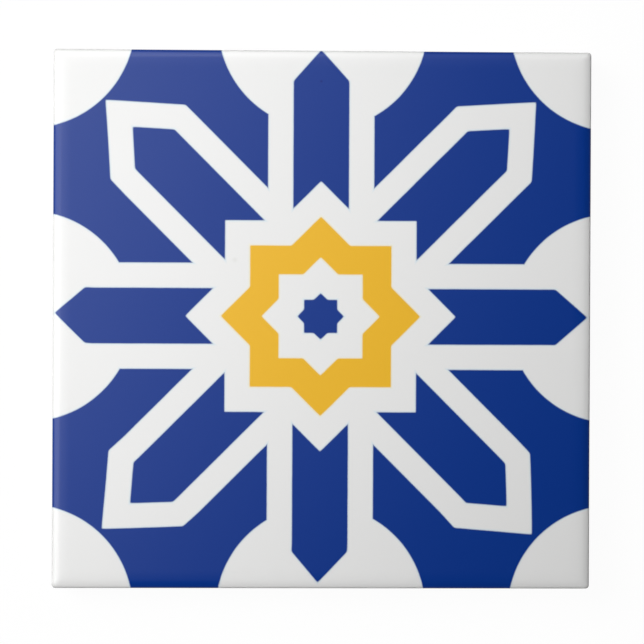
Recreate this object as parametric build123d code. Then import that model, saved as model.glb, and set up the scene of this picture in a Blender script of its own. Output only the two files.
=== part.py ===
from build123d import *
import os
from math import cos, radians, sin, tan

# A square glazed wall tile, pressed from clay dust and fired as one piece.
# It lies on its back with the glazed face up. The origin is the middle of the back,
# X and Y run along the sides, Z points out of the face. Sizes are in millimetres.

# The slab
WIDTH = 108.0             # side of the square, at its widest
THICKNESS = 6.4           # from the back to the flat of the face
CORNER_RADIUS = 0.7       # rounding of the four corners, seen from above
SIDE_DRAFT = 1.5          # degrees that the sides lean in towards the back, to leave the die
BACK_ARRIS = 0.4          # bevel round the edge of the back

# The rolled edge of the face: a long arc eases down from the flat, a shorter one rolls over,
# and a tight one turns down into the side
EASE_RADIUS = 40.0
EASE_TURN = 2.5           # degrees that the face leans where the ease meets the roll
ROLL_RADIUS = 7.0
ROLL_TURN = 14.5          # degrees that the face leans where the roll meets the shoulder
SHOULDER_RADIUS = 0.4
ARC_SECTIONS = 5          # outlines that each arc is lofted through

# The keyed back: a square waffle of shallow recesses that the adhesive grips
CELL_COUNT = 7            # recesses along each side
RIM_WIDTH = 6.0           # flat border round the waffle
RIB_WIDTH = 2.4           # flat rib between two recesses
CELL_DEPTH = 0.8
CELL_CORNER_RADIUS = 1.2
CELL_DRAFT = 30.0         # degrees that the recess walls lean


# Each arc of the edge with the leans that it runs between, from the flat outwards. The last
# one ends upright at the top of the side
edge_arcs = [
    (EASE_RADIUS, 0, radians(EASE_TURN)),
    (ROLL_RADIUS, radians(EASE_TURN), radians(ROLL_TURN)),
    (SHOULDER_RADIUS, radians(ROLL_TURN), radians(90)),
]
flat_half = WIDTH / 2 - sum(radius * (sin(end) - sin(start)) for radius, start, end in edge_arcs)
side_height = THICKNESS - sum(radius * (cos(start) - cos(end)) for radius, start, end in edge_arcs)

# The foot of the tapered side, above the bevel
back_half = WIDTH / 2 - (side_height - BACK_ARRIS) * tan(radians(SIDE_DRAFT))


def outline(half_width, height):
    """The tile's rounded square at one height."""
    return Pos(0, 0, height) * RectangleRounded(2 * half_width, 2 * half_width, CORNER_RADIUS)


def rolled_bands():
    """The bands of the tile under the arcs of its edge, each arc tangent to the one before."""
    half, height = flat_half, THICKNESS
    bands = []
    for radius, start, end in edge_arcs:
        leans = [start + (end - start) * i / (ARC_SECTIONS - 1) for i in range(ARC_SECTIONS)]
        places = [
            (half + radius * (sin(lean) - sin(start)), height - radius * (cos(start) - cos(lean)))
            for lean in leans
        ]
        bands.append(loft([outline(*place) for place in places]))
        half, height = places[-1]
    return bands


def slab():
    """The pressed block under the rolled edge, with tapered sides and a bevelled back."""
    return loft(
        [
            outline(back_half - BACK_ARRIS, 0),
            outline(back_half, BACK_ARRIS),
            outline(WIDTH / 2, side_height),
        ],
        ruled=True,
    )


def back_recesses():
    """The recesses of the waffle, which fill the back inside its border."""
    pitch = (2 * (back_half - BACK_ARRIS - RIM_WIDTH) + RIB_WIDTH) / CELL_COUNT
    mouth = pitch - RIB_WIDTH
    recess = extrude(
        RectangleRounded(mouth, mouth, CELL_CORNER_RADIUS), amount=CELL_DEPTH, taper=CELL_DRAFT
    )
    return [place * recess for place in GridLocations(pitch, pitch, CELL_COUNT, CELL_COUNT)]


tile = slab() + rolled_bands() - back_recesses()

os.makedirs("parts", exist_ok=True)
export_step(tile, "parts/tile.step")
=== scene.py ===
import bmesh
import bpy
from math import cos, pi, radians, sin, sqrt, tan
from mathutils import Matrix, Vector


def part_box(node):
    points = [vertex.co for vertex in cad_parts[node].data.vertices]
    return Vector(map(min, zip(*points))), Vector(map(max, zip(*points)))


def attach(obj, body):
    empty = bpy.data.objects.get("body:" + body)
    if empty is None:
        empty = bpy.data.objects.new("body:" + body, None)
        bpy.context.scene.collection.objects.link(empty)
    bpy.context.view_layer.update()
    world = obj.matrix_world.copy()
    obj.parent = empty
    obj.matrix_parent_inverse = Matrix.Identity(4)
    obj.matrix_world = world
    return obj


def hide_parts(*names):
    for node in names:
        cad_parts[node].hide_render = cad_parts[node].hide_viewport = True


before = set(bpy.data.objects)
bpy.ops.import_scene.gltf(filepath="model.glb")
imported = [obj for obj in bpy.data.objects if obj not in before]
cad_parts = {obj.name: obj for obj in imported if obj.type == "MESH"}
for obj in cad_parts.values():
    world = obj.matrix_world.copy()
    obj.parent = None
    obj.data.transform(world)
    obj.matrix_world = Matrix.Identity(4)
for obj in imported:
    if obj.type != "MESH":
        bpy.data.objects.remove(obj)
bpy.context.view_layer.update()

# The pressed body
# A square of pale clay dust, pressed in a steel die and fired as one piece. Its sides lean in
# towards the back so that it leaves the die. The edge of its face eases down from the flat, rolls
# over and turns down into the side, in three arcs.
MM = 0.001
tile_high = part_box("tile")[1]
HALF_WIDTH = tile_high[0]
FACE_HEIGHT = tile_high[2]
CORNER_RADIUS = 0.7 * MM
CORNER_STEPS = 8
SIDE_LEAN = radians(1.5)
BACK_ARRIS = 0.4 * MM
ARRIS_STEPS = 4
SHOULDER_RADIUS = 0.4 * MM
SHOULDER_STEPS = 10
ROLL_TURN = radians(14.5)        # how far the face leans where the roll meets the shoulder
ROLL_RADIUS = 7.0 * MM
ROLL_STEPS = 8
EASE_TURN = radians(2.5)         # and where the ease meets the roll
EASE_RADIUS = 40.0 * MM
EASE_STEPS = 5
FLAT_MARGIN = 0.6 * MM           # a strip of the flat that keeps the shading of the roll off the face

edge_arcs = [
    (SHOULDER_RADIUS, pi / 2, ROLL_TURN, SHOULDER_STEPS),
    (ROLL_RADIUS, ROLL_TURN, EASE_TURN, ROLL_STEPS),
    (EASE_RADIUS, EASE_TURN, 0.0, EASE_STEPS),
]
side_height = FACE_HEIGHT - sum(radius * (cos(end) - cos(start)) for radius, start, end, _ in edge_arcs)
side_foot = HALF_WIDTH - (side_height - BACK_ARRIS) * tan(SIDE_LEAN)
back_half = side_foot - BACK_ARRIS


def arc_from(place, radius, start, end, steps):
    """Half-widths and heights along an arc from a place on the edge, by its leans from upright."""
    leans = [start + (end - start) * i / steps for i in range(1, steps + 1)]
    middle = (place[0] - radius * sin(start), place[1] - radius * cos(start))
    return [(middle[0] + radius * sin(lean), middle[1] + radius * cos(lean)) for lean in leans]


edge_profile = arc_from((back_half, 0.0), BACK_ARRIS, pi, pi / 2, ARRIS_STEPS)
edge_profile.append((HALF_WIDTH, side_height))
for edge_arc in edge_arcs:
    edge_profile.extend(arc_from(edge_profile[-1], *edge_arc))

bpy.ops.object.select_all(action="DESELECT")
bpy.ops.mesh.primitive_plane_add(size=2 * back_half, calc_uvs=False)
tile = bpy.context.object
tile.name = "glazed_tile"
bpy.ops.object.mode_set(mode="EDIT")
bpy.ops.mesh.bevel(affect="VERTICES", offset=CORNER_RADIUS, segments=CORNER_STEPS)
bpy.ops.mesh.select_all(action="SELECT")
bpy.ops.mesh.delete(type="ONLY_FACE")
bpy.ops.mesh.select_all(action="SELECT")
ring_half = back_half
ring_height = 0.0
for half, height in edge_profile:
    growth = half / ring_half
    bpy.ops.mesh.extrude_region_move(TRANSFORM_OT_translate={"value": (0, 0, height - ring_height)})
    bpy.ops.transform.resize(value=(growth, growth, 1), center_override=(0, 0, height))
    ring_half = half
    ring_height = height
bpy.ops.mesh.edge_face_add()
bpy.ops.mesh.inset(thickness=FLAT_MARGIN)
bpy.ops.object.mode_set(mode="OBJECT")

# The keyed back
# A waffle of shallow square recesses between flat ribs, which the adhesive grips. It is pressed
# with the body, so its walls lean to leave the die and its edges come out soft.
CELL_COUNT = 7
RIM_WIDTH = 6.0 * MM
RIB_WIDTH = 2.4 * MM
CELL_DEPTH = 0.8 * MM
CELL_CORNER_RADIUS = 1.2 * MM
CELL_CORNER_STEPS = 4
WALL_LEAN = radians(30)
CELL_EDGE_RADIUS = 0.22 * MM
CELL_EDGE_STEPS = 2
SMOOTH_ANGLE = radians(40)
NEAR = 0.01 * MM
pitch = (2 * (back_half - RIM_WIDTH) + RIB_WIDTH) / CELL_COUNT
rib_inner = (pitch - RIB_WIDTH) / 2


def pick_edges(test):
    """In edit mode, selects just the edges whose two ends pass a test."""
    bpy.ops.mesh.select_mode(type="EDGE")
    bpy.ops.mesh.select_all(action="DESELECT")
    shape = bmesh.from_edit_mesh(bpy.context.object.data)
    for edge in shape.edges:
        edge.select_set(test(*(end.co for end in edge.verts)))
    bmesh.update_edit_mesh(bpy.context.object.data)


def slopes(a, b):
    """An edge between two heights, as where two walls of a recess meet."""
    return abs(a.z - b.z) > NEAR


def rims_recess(a, b):
    """An edge of the mouth or of the floor of a recess, which lies level within the ribs."""
    within = all(max(abs(end.x), abs(end.y)) < rib_inner + NEAR for end in (a, b))
    return within and not slopes(a, b)


bpy.ops.object.select_all(action="DESELECT")
bpy.ops.mesh.primitive_plane_add(size=pitch, calc_uvs=False)
waffle = bpy.context.object
bpy.ops.object.mode_set(mode="EDIT")
bpy.ops.mesh.inset(thickness=RIB_WIDTH / 2)
bpy.ops.mesh.inset(thickness=CELL_DEPTH * tan(WALL_LEAN), depth=CELL_DEPTH)
pick_edges(slopes)
bpy.ops.mesh.bevel(offset=CELL_CORNER_RADIUS, segments=CELL_CORNER_STEPS, affect="EDGES")
pick_edges(rims_recess)
bpy.ops.mesh.bevel(offset=CELL_EDGE_RADIUS, segments=CELL_EDGE_STEPS, affect="EDGES")
bpy.ops.mesh.select_all(action="SELECT")
first_cell = -pitch * (CELL_COUNT - 1) / 2
bpy.ops.transform.translate(value=(first_cell, first_cell, 0))
bpy.ops.object.mode_set(mode="OBJECT")
for direction in ((1, 0, 0), (0, 1, 0)):
    row = waffle.modifiers.new("row_of_cells", "ARRAY")
    row.count = CELL_COUNT
    row.use_relative_offset = False
    row.use_constant_offset = True
    row.constant_offset_displace = [pitch * share for share in direction]
    row.use_merge_vertices = True
    row.merge_threshold = NEAR
    bpy.ops.object.modifier_apply(modifier=row.name)

tile.select_set(True)
bpy.context.view_layer.objects.active = tile
bpy.ops.object.join()
bpy.ops.object.mode_set(mode="EDIT")
bpy.ops.mesh.select_mode(type="EDGE")
bpy.ops.mesh.select_all(action="DESELECT")
bpy.ops.mesh.select_non_manifold(
    use_wire=False, use_multi_face=False, use_non_contiguous=False, use_verts=False
)
bpy.ops.mesh.fill()
bpy.ops.mesh.select_all(action="SELECT")
bpy.ops.mesh.normals_make_consistent(inside=False)
bpy.ops.object.mode_set(mode="OBJECT")
bpy.ops.object.shade_smooth_by_angle(angle=SMOOTH_ANGLE)
shading = tile.modifiers.new("flat_faces_stay_flat", "WEIGHTED_NORMAL")
shading.keep_sharp = True
bpy.ops.object.modifier_apply(modifier=shading.name)

# The flat map that a picture of the tile is laid out on: the face large, the back and the sides small
FACE_SHARE = 0.70
BACK_SHARE = 0.28
STRIP_STEP = 0.06
MAP_MARGIN = 0.01
LEVEL_ENOUGH = 0.3               # how far up or down a part of the face or the back looks, at the least
flat_map = tile.data.uv_layers.new(name="OFBake")
for side in tile.data.polygons:
    nx, ny, nz = side.normal
    for corner in side.loop_indices:
        point = tile.data.vertices[tile.data.loops[corner].vertex_index].co / (2 * HALF_WIDTH)
        px, py, pz = point.x + 0.5, point.y + 0.5, point.z
        if nz > LEVEL_ENOUGH:
            spot = (px * FACE_SHARE, 1 - FACE_SHARE + py * FACE_SHARE)
        elif nz < -LEVEL_ENOUGH:
            spot = (1 - BACK_SHARE + px * BACK_SHARE, py * BACK_SHARE)
        elif abs(nx) > abs(ny):
            spot = (py * FACE_SHARE, MAP_MARGIN + STRIP_STEP * (nx > 0) + pz * FACE_SHARE)
        else:
            spot = (px * FACE_SHARE, MAP_MARGIN + STRIP_STEP * (2 + (ny > 0)) + pz * FACE_SHARE)
        flat_map.data[corner].uv = [MAP_MARGIN + (1 - 2 * MAP_MARGIN) * share for share in spot]

# The glaze and its print
# A gloss white glaze covers the face and runs down the sides to an uneven line, with the bare
# biscuit under it. The print is fired into it: a star with eight blue blades on white, a yellow
# ring round a blue eye, and blue corner panels cut by a ring of white discs.
PRINT_CENTRE = (-0.342, 0.652)    # millimetres, as are all sizes of the print and the glaze
PRINT_SOFTNESS = 0.24
WANDER_SIZE = 4.0                # the drawing's lines wander over about this length, by this much
WANDER = 0.06
BLEED_REACH = 0.5                # how far the colours bleed into the white round them
TIP_ROUNDING = 0.16
CORNER_BLEND = 0.4
POINT_BLEND = 0.45
GROUND_STAR = 19.20              # half the side of each of a star's two squares
RING_OUTER_STAR = 14.18
RING_INNER_STAR = 8.42
EYE_STAR = 3.34
BLADE_HALF_WIDTH = 5.60
BLADE_TIP = 53.50
POINT_ANGLE = radians(41.65)     # between a blade's axis and the slopes of its point
FRAME_HALF_WIDTH = 10.64
FRAME_TIP = 61.10
DISC_PITCH = 58.70
DISC_RADIUS = 21.03
DISC_SHIFT = (0.24, -0.19)
TIP_LEAN = 0.333                 # how far the tips lean clockwise, at the middle of the tile
TIP_LEAN_RISE = -0.0092          # and how that changes with each millimetre up the tile
LEVEL_LEAN = 0.233               # what the tips of the two level blades add to that
LEVEL_LEAN_RUN = -0.0107         # and how it changes with each millimetre across the tile
LEVEL_SHIFT = 0.45               # how far those two tips lie to the right
LEAN_START = 46.0                # how far from the middle the tips start to lean, and over what length
LEAN_LENGTH = 16.0
LEAST_REACH = 1.0
PRINT_FOOT = 5.3                 # heights on the sides where the print and the glaze end
PRINT_FOOT_SOFTNESS = 0.25
GLAZE_FOOT = 2.4
GLAZE_FOOT_SOFTNESS = 0.2
RUN_WAVE = 7.0                   # the length and the height of the glaze line's long waves
RUN_WAVE_HEIGHT = 1.6
RUN_RIPPLE = 1.3                 # and of its short ones
RUN_RIPPLE_HEIGHT = 0.35
PRINT_RUN_SHARE = 0.4            # how much of them the print's foot follows
EDGE_SHADE_TOP = (5.95, 6.26)    # heights between which the painted shade along the arris comes in, going down from the face
EDGE_SHADE_FOOT = (5.1, 5.7)     # and below it, where the painted shade eases off down the side
SIDE_SHADE_SHARE = 0.6              # how much of the painted shade stays on the side, where the arris is 1
DIM_SIDES_SHADE_CUT = 0.32             # how much less painted shade the right and bottom sides get, which the soft box leaves in shade already
DIM_SIDES_RAMP = (-15.0, 15.0)   # from the tile's diagonal
SPECK = (-0.4, 47.8)             # a dark speck in the upper blade
SPECK_RADIUS = 0.42
SMUDGE = (-17.6, 11.9)           # a grey smudge on the white beside the ring
SMUDGE_RADIUS = 0.8

GLAZE_WHITE = (0.77, 0.77, 0.765, 1)
COBALT_BLUE = (0.0035, 0.0335, 0.232, 1)
GOLDEN_YELLOW = (0.772, 0.435, 0.025, 1)
BLUE_BLEED = (0.82, 0.93, 1.0, 1)
YELLOW_BLEED = (1.0, 0.98, 0.8, 1)
# The grey of the painted shade along the arris and down the sides
EDGE_SHADE_TINT = (0.50, 0.50, 0.495, 1)
SPECK_TINT = (0.35, 0.45, 0.72, 1)
SMUDGE_TINT = (0.93, 0.93, 0.92, 1)
BISCUIT_PALE = (0.58, 0.51, 0.42, 1)
BISCUIT_DARK = (0.43, 0.36, 0.28, 1)
GLAZE_ROUGHNESS = 0.08
BISCUIT_ROUGHNESS = 0.85
SPECKLE_SIZE = 0.5               # the biscuit's fine speckle and its broad clouds
CLOUD_SIZE = 14.0
CLOUD_STRENGTH = 1.1
GRAIN_SIZE = 0.35                # the sandy relief of the biscuit
GLAZE_RISE = 0.6                 # the glaze stands above it, with slow waves
GLAZE_WAVE = 15.0
GLAZE_WAVE_HEIGHT = 0.12
RELIEF_DEPTH = 0.12 * MM
RELIEF_STRENGTH = 0.6


class Field:
    """An output of a shader's nodes. Arithmetic on it adds Math nodes."""

    def __init__(self, tree, socket=None):
        self.tree = tree
        self.socket = socket

    def node(self, kind, settings=None, sockets=None, output=0):
        """Adds a node, with its settings first and then the values or links of its sockets."""
        new = self.tree.nodes.new(kind)
        for name, value in (settings or {}).items():
            setattr(new, name, value)
        for name, value in (sockets or {}).items():
            if isinstance(value, Field):
                self.tree.links.new(value.socket, new.inputs[name])
            else:
                new.inputs[name].default_value = value
        return Field(self.tree, new.outputs[output] if new.outputs else None)

    def maths(self, operation, *values, clamp=False):
        settings = {"operation": operation, "use_clamp": clamp}
        return self.node("ShaderNodeMath", settings, dict(enumerate(values)))

    def __add__(self, other):
        return self.maths("ADD", self, other)

    def __radd__(self, other):
        return self.maths("ADD", other, self)

    def __sub__(self, other):
        return self.maths("SUBTRACT", self, other)

    def __rsub__(self, other):
        return self.maths("SUBTRACT", other, self)

    def __mul__(self, other):
        return self.maths("MULTIPLY", self, other)

    def __rmul__(self, other):
        return self.maths("MULTIPLY", other, self)

    def __truediv__(self, other):
        return self.maths("DIVIDE", self, other)

    def __neg__(self):
        return self.maths("MULTIPLY", self, -1.0)

    def __abs__(self):
        return self.maths("ABSOLUTE", self)

    def least(self, other, blend=0.0):
        return self.maths("SMOOTH_MIN", self, other, blend)

    def most(self, other, blend=0.0):
        return self.maths("SMOOTH_MAX", self, other, blend)

    def length(self, other):
        """The hypotenuse with another field, or the size of this one with its crease rounded off."""
        return self.maths("SQRT", self * self + other * other)

    def clamped(self):
        return self.maths("ADD", self, 0.0, clamp=True)

    def ramp(self, start, end):
        """0 at the start value and 1 at the end value, eased at both."""
        limits = {"Value": self, "From Min": start, "From Max": end}
        return self.node("ShaderNodeMapRange", {"interpolation_type": "SMOOTHSTEP"}, limits)

    def mix(self, colour, other):
        """The first colour where this field is 0, and the other where it is 1."""
        return self.node("ShaderNodeMix", {"data_type": "RGBA"}, {0: self, 6: colour, 7: other}, output=2)

    def tinted(self, colour, tint):
        """A colour, multiplied by a tint where this field is 1."""
        blend = {"data_type": "RGBA", "blend_type": "MULTIPLY"}
        return self.node("ShaderNodeMix", blend, {0: self, 6: colour, 7: tint}, output=2)

    def noise(self, size, detail=2.0):
        """Noise about 0 over a place, with features of about that many millimetres."""
        sockets = {"Vector": self, "Scale": 1 / (size * MM), "Detail": detail}
        return self.node("ShaderNodeTexNoise", {}, sockets) - 0.5


def new_material(name):
    """An empty material, and the field that its nodes start from."""
    material = bpy.data.materials.new(name)
    material.use_nodes = True
    material.node_tree.nodes.clear()
    return material, Field(material.node_tree)


def covers(distance, softness=PRINT_SOFTNESS):
    """1 inside a signed distance and 0 outside it, with a soft edge."""
    return (0.5 - distance / softness).clamped()


def star(across, up, half_side):
    """Two equal squares, one turned by an eighth, about the same middle."""
    square = across.most(up, CORNER_BLEND)
    turned_square = (across + up) / sqrt(2)
    return square.least(turned_square, CORNER_BLEND) - half_side


def blade(along, across, half_width, tip):
    """A strip with a pointed end."""
    point = (along - tip) * sin(POINT_ANGLE) + across * cos(POINT_ANGLE)
    return (across - half_width).most(point, POINT_BLEND)


glaze, start = new_material("printed_glaze_on_biscuit")
place = start.node("ShaderNodeTexCoord", output="Object")
across_tile, up_tile, above_back = (
    place.node("ShaderNodeSeparateXYZ", {}, {"Vector": place}, output=axis) / MM for axis in "XYZ"
)

# The print, measured from its own middle and folded about its axes, so that one eighth draws it all
wander = place.noise(WANDER_SIZE) * WANDER
x = across_tile - PRINT_CENTRE[0] + wander
y = up_tile - PRINT_CENTRE[1] - wander
reach = x.length(y)
tip_share = ((reach - LEAN_START) / LEAN_LENGTH).clamped()
safe_reach = reach.most(LEAST_REACH)
level = ((abs(x) - abs(y)) / safe_reach).clamped()
lean = TIP_LEAN + TIP_LEAN_RISE * y + level * (LEVEL_LEAN + LEVEL_LEAN_RUN * x)
lean = lean * tip_share / safe_reach
across = (x - level * tip_share * LEVEL_SHIFT - lean * y).length(TIP_ROUNDING)
up = (y + lean * x).length(TIP_ROUNDING)
far = across.most(up)
near = across.least(up)
along_diagonal = (across + up) / sqrt(2)
off_diagonal = ((across - up) / sqrt(2)).length(TIP_ROUNDING)

ground = star(across, up, GROUND_STAR)
upright_blades = blade(far, near, BLADE_HALF_WIDTH, BLADE_TIP)
diagonal_blades = blade(along_diagonal, off_diagonal, BLADE_HALF_WIDTH, BLADE_TIP)
blades = upright_blades.least(diagonal_blades).most(-ground, CORNER_BLEND)
frames = blade(along_diagonal, off_diagonal, FRAME_HALF_WIDTH, FRAME_TIP)
disc_x = abs(x - DISC_SHIFT[0])
disc_y = abs(y - DISC_SHIFT[1])
side_discs = (disc_x.most(disc_y) - DISC_PITCH).length(disc_x.least(disc_y))
corner_discs = (disc_x - DISC_PITCH).length(disc_y - DISC_PITCH)
discs = DISC_RADIUS - side_discs.least(corner_discs)
panels = (FRAME_HALF_WIDTH - near).most(-frames).most(discs)
eye = star(across, up, EYE_STAR)
ring = star(across, up, RING_OUTER_STAR).most(-star(across, up, RING_INNER_STAR))

run_line = place.noise(RUN_WAVE) * RUN_WAVE_HEIGHT + place.noise(RUN_RIPPLE) * RUN_RIPPLE_HEIGHT
on_print = covers(PRINT_FOOT + run_line * PRINT_RUN_SHARE - above_back, PRINT_FOOT_SOFTNESS)
glazed = covers(GLAZE_FOOT + run_line - above_back, GLAZE_FOOT_SOFTNESS)
blue_print = blades.least(panels).least(eye)
mottle = 0.5 + place.noise(SPECKLE_SIZE, 4.0) + place.noise(CLOUD_SIZE, 3.0) * CLOUD_STRENGTH
biscuit = mottle.clamped().mix(BISCUIT_PALE, BISCUIT_DARK)
printed = GLAZE_WHITE
for shape, colour, bleed in ((ring, GOLDEN_YELLOW, YELLOW_BLEED), (blue_print, COBALT_BLUE, BLUE_BLEED)):
    printed = ((1 - shape.ramp(0.0, BLEED_REACH)) * on_print).tinted(printed, bleed)
    printed = (covers(shape) * on_print).mix(printed, colour)
for spot, radius, tint in ((SPECK, SPECK_RADIUS, SPECK_TINT), (SMUDGE, SMUDGE_RADIUS, SMUDGE_TINT)):
    away = (across_tile - spot[0]).length(up_tile - spot[1])
    printed = (1 - away.ramp(0.0, radius)).tinted(printed, tint)
# Painted shade: the glaze is greyed along the arris and, less, down the sides. The shade is stronger on
# the left and top sides, which face the soft box, than on the right and bottom, which its light leaves
# darker already.
on_edge = 1 - above_back.ramp(*EDGE_SHADE_TOP)
painted_edge_shade = on_edge * (SIDE_SHADE_SHARE + (1 - SIDE_SHADE_SHARE) * above_back.ramp(*EDGE_SHADE_FOOT))
painted_edge_shade = painted_edge_shade * (1 - DIM_SIDES_SHADE_CUT * (across_tile - up_tile).ramp(*DIM_SIDES_RAMP))
printed = painted_edge_shade.tinted(printed, EDGE_SHADE_TINT)
glaze_level = GLAZE_RISE + place.noise(GLAZE_WAVE) * GLAZE_WAVE_HEIGHT
height = place.noise(GRAIN_SIZE, 3.0) * (1 - glazed) + glazed * glaze_level
bump = {"Strength": RELIEF_STRENGTH, "Distance": RELIEF_DEPTH, "Height": height}
relief = place.node("ShaderNodeBump", {}, bump)
finish = {
    "Base Color": glazed.mix(biscuit, printed),
    "Roughness": BISCUIT_ROUGHNESS + glazed * (GLAZE_ROUGHNESS - BISCUIT_ROUGHNESS),
    "Normal": relief,
}
surface = place.node("ShaderNodeBsdfPrincipled", {}, finish)
place.node("ShaderNodeOutputMaterial", {}, {"Surface": surface})
tile.data.materials.append(glaze)

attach(tile, "root")
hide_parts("tile")

# The floor
# A plain white sheet under the tile. It looks white to the camera and in the glaze, and it still
# shows a faint shadow.
FLOOR_SIZE = 6.0
FLOOR_GAP = 0.02 * MM
FLOOR_WHITE = (0.9, 0.9, 0.9, 1)
WHITE_SHARE = 0.96

bpy.ops.object.select_all(action="DESELECT")
bpy.ops.mesh.primitive_plane_add(size=FLOOR_SIZE, location=(0, 0, -FLOOR_GAP))
floor = bpy.context.object
floor.name = "floor"
paper, start = new_material("white_paper")


def seen(start):
    """1 for a ray that shows the background: from the camera, or by way of gloss or glass."""
    rays = [
        start.node("ShaderNodeLightPath", output=name)
        for name in ("Is Camera Ray", "Is Glossy Ray", "Is Transmission Ray")
    ]
    return rays[0].most(rays[1]).most(rays[2])


sheet = start.node("ShaderNodeBsdfDiffuse", {}, {"Color": FLOOR_WHITE})
white = start.node("ShaderNodeEmission", {}, {"Color": (1, 1, 1, 1), "Strength": 1.0})
share = seen(start) * WHITE_SHARE
surface = start.node("ShaderNodeMixShader", {}, {0: share, 1: sheet, 2: white})
start.node("ShaderNodeOutputMaterial", {}, {"Surface": surface})
floor.data.materials.append(paper)

# The light
# A soft box with a grid stands close to the upper left corner and is aimed at it, so that the far
# corner is dimmer. A bright panel above that side, and the glow round it, show in the gloss.
SOFT_BOX_PLACE = Vector((-0.2274, 0.1375, 0.1391))
SOFT_BOX_AIM = Vector((-0.0548, 0.0487, 0.0))
SOFT_BOX_WIDTH = 0.365
SOFT_BOX_HEIGHT = 0.27
SOFT_BOX_SPREAD = radians(65.7)    # the grid keeps its light within this angle
SOFT_BOX_WATTS = 0.484
GLOW_PLACE = (-0.851, 0.458)     # across the view overhead, where 1 is the horizon
GLOW_EDGE = (0.659, 1.249)       # from that place, where the glow starts to fall and where it has ended
GLOW_REACH = (0.52, 0.60)        # from overhead
GLOW_STRENGTH = 2.21
PANEL_AZIMUTH = radians(146.4)
PANEL_NEAR = 0.228               # tangents of the slants of the panel's near and far edges
PANEL_FAR = 0.45
PANEL_SHIFT = -0.031
PANEL_HALF_WIDTH = 0.38
PANEL_NEAR_SOFTNESS = 0.05
PANEL_FAR_SOFTNESS = 0.10
PANEL_SIDE_SOFTNESS = 0.15
PANEL_STRENGTH = 2.4
ROOM_STRENGTH = 0.06
LEAST_RISE = 0.05
HORIZON = (0.15, 0.75)           # up to where the white surroundings reach, and where they have ended

soft_box = bpy.data.lights.new("soft_box", "AREA")
soft_box.shape = "RECTANGLE"
soft_box.size = SOFT_BOX_WIDTH
soft_box.size_y = SOFT_BOX_HEIGHT
soft_box.spread = SOFT_BOX_SPREAD
soft_box.energy = SOFT_BOX_WATTS
soft_box_object = bpy.data.objects.new("soft_box", soft_box)
soft_box_object.location = SOFT_BOX_PLACE
soft_box_object.rotation_euler = (SOFT_BOX_PLACE - SOFT_BOX_AIM).to_track_quat("Z", "Y").to_euler()
soft_box_object.visible_camera = False
soft_box_object.visible_glossy = False
bpy.context.scene.collection.objects.link(soft_box_object)

world = bpy.data.worlds.new("surroundings")
world.use_nodes = True
world.node_tree.nodes.clear()
bpy.context.scene.world = world
start = Field(world.node_tree)
way = start.node("ShaderNodeTexCoord", output="Generated")
way_x, way_y, way_z = (
    way.node("ShaderNodeSeparateXYZ", {}, {"Vector": way}, output=axis) for axis in "XYZ"
)
from_glow = (way_x - GLOW_PLACE[0]).length(way_y - GLOW_PLACE[1])
near_overhead = 1 - way_x.length(way_y).ramp(*GLOW_REACH)
fade = 1 - from_glow.ramp(*GLOW_EDGE)
glow = fade * fade * GLOW_STRENGTH
upward = way_z.most(LEAST_RISE)
outward = (way_x * cos(PANEL_AZIMUTH) + way_y * sin(PANEL_AZIMUTH)) / upward
sideways = (way_y * cos(PANEL_AZIMUTH) - way_x * sin(PANEL_AZIMUTH)) / upward
panel = covers(PANEL_NEAR - outward, PANEL_NEAR_SOFTNESS) * covers(outward - PANEL_FAR, PANEL_FAR_SOFTNESS)
panel = panel * covers(abs(sideways - PANEL_SHIFT) - PANEL_HALF_WIDTH, PANEL_SIDE_SOFTNESS)
sky = ROOM_STRENGTH + near_overhead * (glow - ROOM_STRENGTH)
sky = sky + panel * (PANEL_STRENGTH - sky)
camera_ray = start.node("ShaderNodeLightPath", output="Is Camera Ray")
white_share = camera_ray.most(seen(start) * (1 - way_z.ramp(*HORIZON)))
strength = sky + white_share * (1 - sky)
background = start.node("ShaderNodeBackground", {}, {"Color": (1, 1, 1, 1), "Strength": strength})
start.node("ShaderNodeOutputWorld", {}, {"Surface": background})

# The camera
# Nearly straight above the tile, with its left side a little nearer.
CAMERA_PLACE = (-8.9 * MM, 0.8 * MM, 401.1 * MM)
CAMERA_TURN = (radians(-0.19), radians(-1.282), radians(0.252))
CAMERA_LENS = 110
CAMERA_SENSOR = 36

camera = bpy.data.cameras.new("camera")
camera.lens = CAMERA_LENS
camera.sensor_width = CAMERA_SENSOR
camera_object = bpy.data.objects.new("camera", camera)
camera_object.location = CAMERA_PLACE
camera_object.rotation_euler = CAMERA_TURN
bpy.context.scene.collection.objects.link(camera_object)
bpy.context.scene.camera = camera_object
bpy.context.scene.view_settings.view_transform = "Standard"
